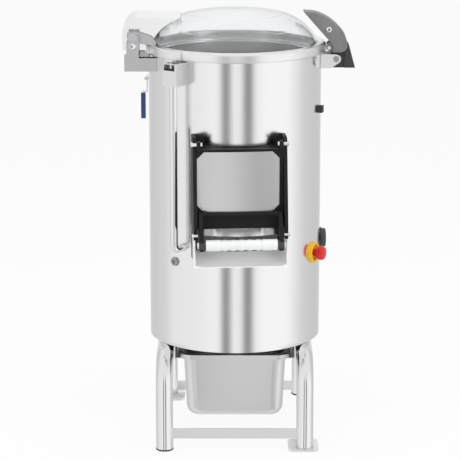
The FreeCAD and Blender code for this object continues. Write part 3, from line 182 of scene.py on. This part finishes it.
world = bpy.data.worlds.new("studio")
bpy.context.scene.world = world
world.use_nodes = True
sky = Paint("studio", world.node_tree)
way = sky.node("ShaderNodeTexCoord", output=0)
split = sky.node("ShaderNodeSeparateXYZ", None, way)
across = Socket(sky, split.source.node.outputs[0])
along = Socket(sky, split.source.node.outputs[1])
up = Socket(sky, split.source.node.outputs[2])
turn = sky.node("ShaderNodeMath", {"operation": "ARCTAN2"}, across, 0 - along)
share = turn / (2 * math.pi) + 0.5
walls = sky.ramp(share,
                 (0.0, 0.95), (0.045, 0.72), (0.09, 0.62), (0.2, 0.7), (0.25, 0.86), (0.36, 0.88),
                 (0.445, 1.0), (0.4465, 0.95), (0.4555, 0.2), (0.479, 0.18), (0.4875, 0.9), (0.5, 1.0),
                 (0.526, 0.92), (0.537, 0.2), (0.561, 0.18), (0.5705, 0.9), (0.6, 1.0), (0.71, 1.0),
                 (0.75, 0.84), (0.79, 0.68), (0.86, 0.62), (0.93, 0.62), (0.96, 0.72), (1.0, 0.95))
ceiling = sky.ramp(up, (0.0, 0.0), (0.35, 0.0), (0.7, 1.0))
room = sky.mix(ceiling, walls, (0.86, 0.86, 0.86))
FILL = 0.62
plain = sky.node("ShaderNodeBackground", None, (1, 1, 1), FILL)
mirrored = sky.node("ShaderNodeBackground", None, room, 1.0)
backdrop = sky.node("ShaderNodeBackground", None, (1, 1, 1), 1.0)
chosen = sky.node("ShaderNodeMixShader", None, sky.ray("Is Glossy Ray"), plain, mirrored)
looked_at = sky.ray("Is Camera Ray") + sky.ray("Is Transmission Ray")
open_way = sky.node("ShaderNodeMath", {"operation": "MINIMUM"}, looked_at, 1.0)
surround = sky.node("ShaderNodeMixShader", None, open_way, chosen, backdrop)
sky.node("ShaderNodeOutputWorld", None, surround)


# Stand: two legs of polished stainless tube, each bent twice from one length, with flat bars welded
# between them, bolt-down plates under two corners and rubber plugs in the other two.
def brushed(name, tone, rough, grain, depth=0.00002, spread=0.06, tint=0.1, metal=1.0):
    """Ground or rolled steel: fine scratches along one way, and slow clouds of wear."""
    paint = Paint(name)
    lines = paint.noise(paint.place(grain), 1, 4, 0.6)
    clouds = paint.noise(paint.place((3, 3, 3)), 1.6, 3)
    shade = (clouds - 0.5) * tint + (lines - 0.5) * (tint * 0.7)
    colour = paint.mix(paint.ramp(shade + 0.5, (0.3, 0), (0.7, 1)),
                       [share * 0.93 for share in tone], [min(share * 1.05, 1) for share in tone])
    return paint.surface(Base_Color=colour, Metallic=metal,
                         Roughness=(lines - 0.5) * spread + (clouds - 0.5) * spread + rough,
                         Normal=paint.bump(lines, 0.25, depth))


def dress(node, material):
    """Gives a CAD node its finished material."""
    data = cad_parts[node].data
    data.materials.clear()
    data.materials.append(material)
    for face in data.polygons:
        face.material_index = 0


tube_steel = brushed("tube_steel", (0.88, 0.88, 0.88), 0.12, (40, 40, 40), 0.00001, 0.04, 0.06)
for name in ("left_leg_frame", "right_leg_frame"):
    dress(name, tube_steel)
bar_steel = brushed("bar_steel", (0.9, 0.9, 0.9), 0.3, (4, 300, 300), 0.00001, 0.08, 0.06)
for name in ("crossbars", "foot_plates"):
    dress(name, bar_steel)
bolt_steel = brushed("bolt_steel", (0.72, 0.73, 0.74), 0.28, (200, 200, 200), 0.00002)
dress("stand_bolts", bolt_steel)


def moulded(name, colour, rough, grain=900, depth=0.00004, tint=0.12, shine=0.5):
    """Moulded plastic or rubber: a fine even grain, with slow patches of wear and dust."""
    paint = Paint(name)
    skin = paint.noise(paint.place((1, 1, 1)), grain, 2)
    dust = paint.noise(paint.place((1, 1, 1)), 14, 4, 0.6)
    worn = paint.mix(paint.ramp(dust, (0.35, 0), (0.7, 1)),
                     [share * (1 - tint) for share in colour],
                     [min(share * (1 + tint) + 0.002, 1) for share in colour])
    return paint.surface(Base_Color=worn, Roughness=(dust - 0.5) * 0.12 + rough,
                         Specular_IOR_Level=shine, Normal=paint.bump(skin, 0.3, depth))


def place(form, at, way):
    """Turns a form's Z to a direction and moves its origin to a point in mm."""
    aim = Vector(way).to_track_quat("Z", "Y").to_matrix().to_4x4()
    bmesh.ops.transform(form, matrix=Matrix.Translation(Vector(at) / 1000) @ aim, verts=form.verts[:])


def round_form(profile, at, way, steps=64):
    """A round piece: (radius, along) points in mm, spun about the line from at in the direction way."""
    form = bmesh.new()
    points = [form.verts.new((radius / 1000, 0, along / 1000)) for radius, along in profile]
    for start, end in zip(points, points[1:]):
        form.edges.new((start, end))
    bmesh.ops.spin(form, geom=form.verts[:] + form.edges[:], cent=(0, 0, 0), axis=(0, 0, 1),
                   steps=steps, angle=2 * math.pi, use_merge=True)
    bmesh.ops.remove_doubles(form, verts=form.verts[:], dist=0.000002)
    bmesh.ops.recalc_face_normals(form, faces=form.faces[:])
    place(form, at, way)
    return form


def joined(*forms):
    """Several forms in one."""
    whole = bmesh.new()
    for form in forms:
        spare = bpy.data.meshes.new("spare")
        form.to_mesh(spare)
        form.free()
        whole.from_mesh(spare)
        bpy.data.meshes.remove(spare)
    return whole


def piece(name, form, material, body, slot, *nodes, sharp=35):
    """Makes a form a finished piece on a body, in place of the CAD nodes that it stands for."""
    data = bpy.data.meshes.new(name)
    form.to_mesh(data)
    form.free()
    data.shade_smooth()
    data.set_sharp_from_angle(angle=math.radians(sharp))
    data.materials.append(material)
    made = bpy.data.objects.new(name, data)
    bpy.context.scene.collection.objects.link(made)
    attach(made, body)
    if nodes:
        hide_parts(*nodes)


black_rubber = moulded("black_rubber", (0.03, 0.03, 0.032), 0.6, 500)
LEG_X = 165
LEG_Y = 217
UP = (0, 0, 1)
foot_profile = [(0, 0), (19.5, 0), (20.5, 0.8), (20.9, 2), (20.7, 3.6), (20.1, 4.1), (18, 4.1),
                (18, 20), (0, 20)]
piece("leg_plugs", joined(round_form(foot_profile, (-LEG_X, -LEG_Y, 0), UP),
                          round_form(foot_profile, (LEG_X, LEG_Y, 0), UP)),
      black_rubber, "machine", "rubber", "rubber_feet")
weld_steel = brushed("weld_steel", (0.7, 0.7, 0.71), 0.3, (90, 90, 90), 0.0001, 0.12, 0.25)
weld_profile = [(19.9, -2.2), (20.5, -1.4), (20.8, 0), (20.5, 1.4), (19.9, 2.2), (19.9, -2.2)]
WELD_Z = 7
piece("foot_welds", joined(round_form(weld_profile, (LEG_X, -LEG_Y, WELD_Z), UP),
                           round_form(weld_profile, (-LEG_X, LEG_Y, WELD_Z), UP)),
      weld_steel, "machine", "tube_steel")

# Waste pan: a half-size catering pan pressed from one sheet, with large soft corners and a turned-down
# rim that hangs on the two folded rails.
satin_steel = brushed("satin_steel", (0.84, 0.84, 0.84), 0.34, (3, 180, 180), 0.00001, 0.1, 0.08)
dress("pan_rails", satin_steel)
PAN_TOP = 0.215
PAN_BOTTOM = 0.057
PAN_WIDTH = 0.24
PAN_LENGTH = 0.3
PAN_SHEET = 0.0014
WALL_CORNER = 0.03
FLOOR_CORNER = 0.022
NEAR = 0.001
middle = (PAN_TOP + PAN_BOTTOM) / 2
form = bmesh.new()
bmesh.ops.create_cube(form, size=1)
bmesh.ops.transform(form, verts=form.verts[:], matrix=Matrix.Translation((0, 0, middle))
                    @ Matrix.Diagonal((PAN_WIDTH, PAN_LENGTH, PAN_TOP - PAN_BOTTOM, 1)))
low = [vert for vert in form.verts if vert.co.z < middle]
bmesh.ops.scale(form, vec=(0.934, 0.948, 1), verts=low)
top_face = [face for face in form.faces if face.calc_center_median().z > PAN_TOP - NEAR]
bmesh.ops.delete(form, geom=top_face, context="FACES_ONLY")
upright = [edge for edge in form.edges if abs(edge.verts[0].co.z - edge.verts[1].co.z) > NEAR]
bmesh.ops.bevel(form, geom=upright, offset=WALL_CORNER, offset_type="OFFSET", segments=8,
                profile=0.5, affect="EDGES", material=-1)
under = [edge for edge in form.edges
         if len(edge.link_faces) == 2 and max(vert.co.z for vert in edge.verts) < PAN_BOTTOM + NEAR]
bmesh.ops.bevel(form, geom=under, offset=FLOOR_CORNER, offset_type="OFFSET", segments=6,
                profile=0.5, affect="EDGES", material=-1)
for grow, drop in ((1.035, 0.0), (1.045, 0.0), (1.02, 0.0008), (1.0035, 0.0025), (1.0, 0.0085)):
    rim = bmesh.ops.extrude_edge_only(form, edges=[edge for edge in form.edges if edge.is_boundary])
    lip = [part for part in rim["geom"] if isinstance(part, bmesh.types.BMVert)]
    bmesh.ops.scale(form, vec=(grow, 1 + (grow - 1) * 0.8, 1), verts=lip)
    bmesh.ops.translate(form, vec=(0, 0, -drop), verts=lip)
bmesh.ops.recalc_face_normals(form, faces=form.faces[:])
bmesh.ops.solidify(form, geom=form.faces[:], thickness=PAN_SHEET)
piece("pressed_pan", form, satin_steel, "waste_tray", "satin_steel", "waste_pan", sharp=50)

# Drum: one rolled and welded sheet of stainless steel, polished round its length, standing on a flat
# base plate bolted to the legs. A small grey gland closes a spare hole at the lower left.
drum_steel = brushed("drum_steel", (0.93, 0.93, 0.93), 0.2, (2, 2, 260), 0.00001, 0.05, 0.05)
dress("drum_shell", drum_steel)
dress("drum_base_plate", satin_steel)
black_plastic = moulded("black_plastic", (0.012, 0.012, 0.013), 0.5, 700, 0.00003, shine=0.2)
grey_plastic = moulded("grey_plastic", (0.32, 0.32, 0.33), 0.4, 600)


def outward(turn):
    """The way out through the drum's wall, so many degrees round from the front to the right."""
    angle = math.radians(turn)
    return (math.sin(angle), -math.cos(angle), 0)


PLUG_TURN = -43.2
PLUG_Z = 440
plug_profile = [(5, 186), (5, 203), (11, 203.4), (11.4, 205), (11, 208.4), (9, 209), (6.4, 209.2),
                (5.6, 208.6), (5.4, 205.5), (0, 205.3), (0, 186), (5, 186)]
piece("spare_gland", round_form(plug_profile, (0, 0, PLUG_Z), outward(PLUG_TURN), 6),
      grey_plastic, "machine", "black_plastic", "wall_plug", sharp=20)

# Inside the drum: the peeling tub with its floor and abrasive wall, the disc that throws the potatoes
# against it, and under the floor the shaft, bearings, belt and motor.
for name in ("peeling_tub", "tub_base", "drain_spout", "motor_mount"):
    dress(name, satin_steel)
stone_grit = moulded("stone_grit", (0.3, 0.29, 0.28), 0.85, 420, 0.0006, 0.35)
for name in ("wall_lining", "peeling_disc"):
    dress(name, stone_grit)
cast_iron = moulded("cast_iron", (0.26, 0.27, 0.28), 0.55, 260, 0.0002, 0.2)
for name in ("bearing_housing", "driven_pulley", "motor_pulley"):
    dress(name, cast_iron)
for name in ("drive_shaft", "shaft_bearings"):
    dress(name, bolt_steel)
for name in ("shaft_seal", "drive_belt"):
    dress(name, black_rubber)
dress("motor_body", moulded("motor_paint", (0.2, 0.23, 0.27), 0.4, 300, 0.0001, 0.15))

# Lid: a polished light-alloy ring with a rubber gasket under it, carrying a thick clear plastic dome
# moulded in one piece with a rounded shoulder.
ring_alloy = brushed("ring_alloy", (0.94, 0.94, 0.94), 0.32, (3, 3, 200), 0.00001, 0.04, 0.05)
dress("lid_ring", ring_alloy)
dress("lid_gasket", black_rubber)
clear = Paint("clear_plastic")
haze = clear.noise(clear.place((1, 1, 1)), 9, 3)
scuffs = clear.noise(clear.place((40, 40, 300)), 1, 4, 0.7)
dress("lid_dome", clear.surface(Base_Color=clear.mix(haze, (0.93, 0.945, 0.95), (0.97, 0.975, 0.98)),
                                Roughness=(scuffs - 0.5) * 0.05 + 0.05, Transmission_Weight=1.0, IOR=1.3,
                                Normal=clear.bump(haze, 0.08, 0.0004)))

# Lid hinge: two angled steel brackets bolted to the drum, a pin through them and the lid's arms, a
# black shelf under it, and a bent bright cover that turns with the lid. The shelf's black is painted
# shade for the shadowed gap under the lid ring.
bracket_steel = brushed("bracket_steel", (0.7, 0.7, 0.71), 0.36, (8, 200, 8), 0.00001, 0.1, 0.08)
for name in ("hinge_brackets", "lid_arms"):
    dress(name, bracket_steel)
# Painted shade: the black shelf stands in for the shadow in the gap between the brackets and the ring.
dress("hinge_shelf", black_plastic)
dress("lid_hinge_pin", bolt_steel)
cover_steel = brushed("cover_steel", (0.95, 0.95, 0.95), 0.14, (6, 160, 6), 0.00001, 0.04, 0.04)
dress("hinge_cover", cover_steel)
bright_steel = brushed("bright_steel", (0.92, 0.92, 0.92), 0.14, (160, 160, 160), 0.00001)
BOLT_X = -237
BOLT_Y = 93
BOLT_Z = 940
bolt_head = [(0, 0), (8.6, 0), (8.6, 1.2), (7.4, 1.6), (7.2, 4), (6, 5), (2.6, 5.2), (2.2, 3.6),
             (0, 3.4)]
bolts = [round_form(bolt_head, (BOLT_X, side * BOLT_Y, BOLT_Z), (0, side, 0), 6) for side in (-1, 1)]
piece("bracket_bolts", joined(*bolts), bright_steel, "machine", "bearing_steel")

# Latch: a black lever with a crescent-shaped grained steel shell over it, turning on the lid's catch.
# Its pockets drop over two studs held between a pair of ears on the drum.
shell_steel = moulded("shell_steel", (0.2, 0.2, 0.205), 0.45, 420, 0.0004, 0.14)
dress("latch_shell", shell_steel)
dress("latch_core", moulded("lever_black", (0.04, 0.04, 0.042), 0.38, 600))
for name in ("latch_ears", "lid_catch"):
    dress(name, bar_steel)
stud_steel = brushed("stud_steel", (0.45, 0.45, 0.46), 0.35, (200, 200, 200), 0.00002)
dress("keeper_studs", stud_steel)
dress("rubber_buffer", black_rubber)
SCREW_AT = (221, -22.2, 969)
screw_head = [(0, 0), (6.6, 0), (6.6, 1), (5.6, 2.2), (3.6, 2.9), (2.4, 3), (2.2, 1.6), (0, 1.5)]
piece("latch_screw", round_form(screw_head, SCREW_AT, (0, -1, 0), 32),
      bright_steel, "latch", "bearing_steel")

# Discharge: a black frame with two cheeks round the opening, and a folded steel trough between them.
dress("chute_frame", black_plastic)
trough_steel = brushed("trough_steel", (0.95, 0.95, 0.95), 0.5, (3, 160, 160), 0.00001,
                       0.1, 0.06, 0.12)
dress("chute_trough", trough_steel)

# Door: a black moulded body with a silver panel screwed to its face and a curved steel skin behind it
# that closes the drum. It hangs on two pins in the frame's cheeks.
dress("door_body", black_plastic)
DOOR_TURN = Matrix.Rotation(math.radians(4.5), 4, "Z")
panel_steel = brushed("panel_steel", (0.8, 0.8, 0.8), 0.3, (220, 3, 3), 0.00001, 0.06, 0.05)
PANEL_LEFT = -104.9
PANEL_RIGHT = 84.3
PANEL_LOW = 579
PANEL_HIGH = 719
PANEL_OUT = 231.2
PANEL_SHEET = 0.0018
PANEL_STRIPS = 24
CORNER = 16
BOW = 5
outline = [(PANEL_LEFT + CORNER, PANEL_LOW), (PANEL_RIGHT - CORNER, PANEL_LOW),
           (PANEL_RIGHT, PANEL_LOW + CORNER), (PANEL_RIGHT, PANEL_HIGH - CORNER),
           (PANEL_RIGHT - CORNER, PANEL_HIGH), (PANEL_LEFT + CORNER, PANEL_HIGH),
           (PANEL_LEFT, PANEL_HIGH - CORNER), (PANEL_LEFT, PANEL_LOW + CORNER)]
panel_form = bmesh.new()
panel_form.faces.new([panel_form.verts.new((x / 1000, -PANEL_OUT / 1000, z / 1000)) for x, z in outline])
for cut in range(1, PANEL_STRIPS):
    at = (PANEL_LEFT + (PANEL_RIGHT - PANEL_LEFT) * cut / PANEL_STRIPS) / 1000
    bmesh.ops.bisect_plane(panel_form, plane_co=(at, 0, 0), plane_no=(1, 0, 0), dist=0.00001,
                           geom=panel_form.verts[:] + panel_form.edges[:] + panel_form.faces[:])
for vert in panel_form.verts:
    share_across = (vert.co.x * 1000 - PANEL_LEFT) / (PANEL_RIGHT - PANEL_LEFT) * 2 - 1
    vert.co.y -= BOW / 1000 * (1 - share_across ** 2)
bmesh.ops.recalc_face_normals(panel_form, faces=panel_form.faces[:])
bmesh.ops.solidify(panel_form, geom=panel_form.faces[:], thickness=PANEL_SHEET)
bmesh.ops.transform(panel_form, matrix=DOOR_TURN, verts=panel_form.verts[:])
piece("bowed_panel", panel_form, panel_steel, "door", "satin_steel", "door_panel")
dress("door_skin", drum_steel)
dress("door_pins", bright_steel)
PANEL_SCREW_OUT = 233
small_head = [(0, -1), (2.6, -1), (2.6, 0.4), (1.8, 1), (0, 1.1)]
screw_form = joined(*[round_form(small_head, (x, -PANEL_SCREW_OUT, z), (0, -1, 0), 20)
                      for x in (-94, 73.4) for z in (590, 708)])
bmesh.ops.transform(screw_form, matrix=DOOR_TURN, verts=screw_form.verts[:])
piece("panel_screws", screw_form, bolt_steel, "door", "bearing_steel")

# Door handle: a white grip bar with finger scallops on a steel rod, between two black arms that pivot
# on the door, with a ribbed black sleeve at each end.
dress("handle_arms", black_plastic)
white_plastic = moulded("white_plastic", (0.83, 0.84, 0.84), 0.3, 500, 0.00002, 0.03)
GRIP_AT = (-6, -275, 510)
GRIP_HALF = 82
GRIP_RADIUS = 13
ROD_HALF = 101.5
ROD_RADIUS = 7
SCALLOP_LENGTH = 19
SCALLOP_DEPTH = 1.5
SCALLOPS_HALF = 47.5
GROOVE_DEPTH = 0.7
grip_points = [(0, -ROD_HALF), (ROD_RADIUS, -ROD_HALF), (ROD_RADIUS, -GRIP_HALF),
               (GRIP_RADIUS - 0.8, -GRIP_HALF), (GRIP_RADIUS, 1 - GRIP_HALF)]
for along in range(-80, 81):
    dip = 0
    if abs(along) < SCALLOPS_HALF:
        dip = SCALLOP_DEPTH * (0.5 - 0.5 * math.cos(2 * math.pi * along / SCALLOP_LENGTH))
    if 70 < abs(along) < 72 or 60 < abs(along) < 61.5:
        dip = GROOVE_DEPTH
    grip_points.append((GRIP_RADIUS - dip, along))
grip_points += [(GRIP_RADIUS, GRIP_HALF - 1), (GRIP_RADIUS - 0.8, GRIP_HALF), (ROD_RADIUS, GRIP_HALF),
                (ROD_RADIUS, ROD_HALF), (0, ROD_HALF)]
grip_form = round_form(grip_points, GRIP_AT, (1, 0, 0), 48)
bmesh.ops.transform(grip_form, matrix=DOOR_TURN, verts=grip_form.verts[:])
piece("scalloped_grip", grip_form, white_plastic, "handle", "white_grip", "handle_grip", sharp=50)
RIBS = 4
RIB_STEP = 3.4
RIB_DEPTH = 1.3
SLEEVE_BORE = 7.2
SLEEVE_START = 82.4
SLEEVE_END = 97.8
sleeve_points = [(SLEEVE_BORE, SLEEVE_START), (11.4, SLEEVE_START), (12.2, 83)]
for rib in range(RIBS):
    start = 83.5 + rib * RIB_STEP
    high = 12.5 - rib * 0.3
    low = high - RIB_DEPTH
    sleeve_points += [(high, start), (high, start + 2), (low, start + 2.4), (low, start + 3)]
sleeve_points += [(11.4, 97.2), (10.8, SLEEVE_END), (SLEEVE_BORE, SLEEVE_END),
                  (SLEEVE_BORE, SLEEVE_START)]
sleeve_rubber = moulded("sleeve_rubber", (0.06, 0.06, 0.062), 0.4, 500)
sleeve_form = joined(*[round_form(sleeve_points, GRIP_AT, (side, 0, 0), 48) for side in (1, -1)])
bmesh.ops.transform(sleeve_form, matrix=DOOR_TURN, verts=sleeve_form.verts[:])
piece("ribbed_sleeves", sleeve_form, sleeve_rubber, "handle", "black_plastic", "grip_sleeves")

# Lid switch: a folded steel box on the drum with a window in its front, where a rod on the lid meets
# the switch inside, and a steel conduit that takes its wires down and back into the drum.
dress("switch_box", satin_steel)
dress("lid_microswitch", black_plastic)
dress("lid_actuator", bar_steel)
dress("switch_conduit", tube_steel)

# Stop control: a red mushroom button on a yellow collar. Timer: a dark knob with finger flutes. Both
# are held through the drum's wall by their contact blocks.
STOP_TURN = 65
STOP_Z = 447
yellow_plastic = moulded("yellow_plastic", (0.9, 0.52, 0.015), 0.35, 500, 0.00003, 0.06)
red_plastic = moulded("red_plastic", (0.72, 0.012, 0.015), 0.3, 500, 0.00003, 0.08)
collar_profile = [(8.1, 197), (25.5, 197), (25.5, 208.4), (24.8, 210.3), (23, 211), (18.6, 211),
                  (17.4, 206.6), (8.1, 206.6), (8.1, 197)]
piece("yellow_collar", round_form(collar_profile, (0, 0, STOP_Z), outward(STOP_TURN)),
      yellow_plastic, "machine", "yellow_collar", "stop_collar")
button_profile = [(0, 197), (8, 197), (8, 214), (12, 215), (12, 219.2), (14.8, 219.4), (16.1, 220.2),
                  (16.5, 221.6), (16.5, 228), (15.7, 231.2), (13.4, 233.8), (9, 234.8), (0, 235)]
piece("red_mushroom", round_form(button_profile, (0, 0, STOP_Z), outward(STOP_TURN)),
      red_plastic, "stop", "red_button", "stop_button")
TIMER_TURN = 93
TIMER_Z = 460
FLUTES = 16
FLUTE_SHARE = 0.035
SKIRT_TOP = 0.209
knob_profile = [(0, 197), (8, 197), (8, 205.5), (24.4, 205.5), (25, 206.4), (25, 208.5), (23, 209.5),
                (22.6, 216.5), (21.4, 218.6), (18, 219), (0, 219)]
knob_form = round_form(knob_profile, (0, 0, 0), UP, 96)
for vert in knob_form.verts:
    if math.hypot(vert.co.x, vert.co.y) > 0.02 and vert.co.z > SKIRT_TOP:
        wave = 0.5 - 0.5 * math.cos(FLUTES * math.atan2(vert.co.y, vert.co.x))
        narrow = 1 - FLUTE_SHARE * wave
        bmesh.ops.scale(knob_form, vec=(narrow, narrow, 1), verts=[vert])
place(knob_form, (0, 0, TIMER_Z), outward(TIMER_TURN))
dark_plastic = moulded("dark_plastic", (0.05, 0.05, 0.055), 0.4, 500)
piece("fluted_knob", knob_form, dark_plastic, "timer", "dark_knob", "timer_knob")
dress("control_contacts", black_plastic)

# Water inlet: a nickel-plated ball valve on the pipe into the tub, with a cranked steel lever in a
# dark blue sleeve. Mains gland: black plastic, at the back of the motor space.
nickel = brushed("nickel_plate", (0.78, 0.77, 0.74), 0.22, (120, 120, 120), 0.00002)
dress("valve_body", nickel)
dress("valve_lever", bar_steel)
dress("valve_grip", moulded("blue_sleeve", (0.03, 0.06, 0.24), 0.5, 420, 0.0001))
dress("cable_gland", black_plastic)

# The photographer's place: a long lens a little over five metres in front of the machine, looking
# down on the lid by thirteen degrees, with the drum standing a hair right of the picture's middle.
LOOK_DOWN = 13.4
LOOK_LEFT = 0.1256
camera_data = bpy.data.cameras.new("camera")
camera_data.lens = 174.9
camera_data.sensor_width = 36
camera_data.clip_end = 60
camera = bpy.data.objects.new("camera", camera_data)
camera.location = (0, -5.233, 1.727)
camera.rotation_euler = (math.radians(90 - LOOK_DOWN), 0, math.radians(LOOK_LEFT))
bpy.context.scene.collection.objects.link(camera)
bpy.context.scene.camera = camera
bpy.context.scene.view_settings.view_transform = "Standard"
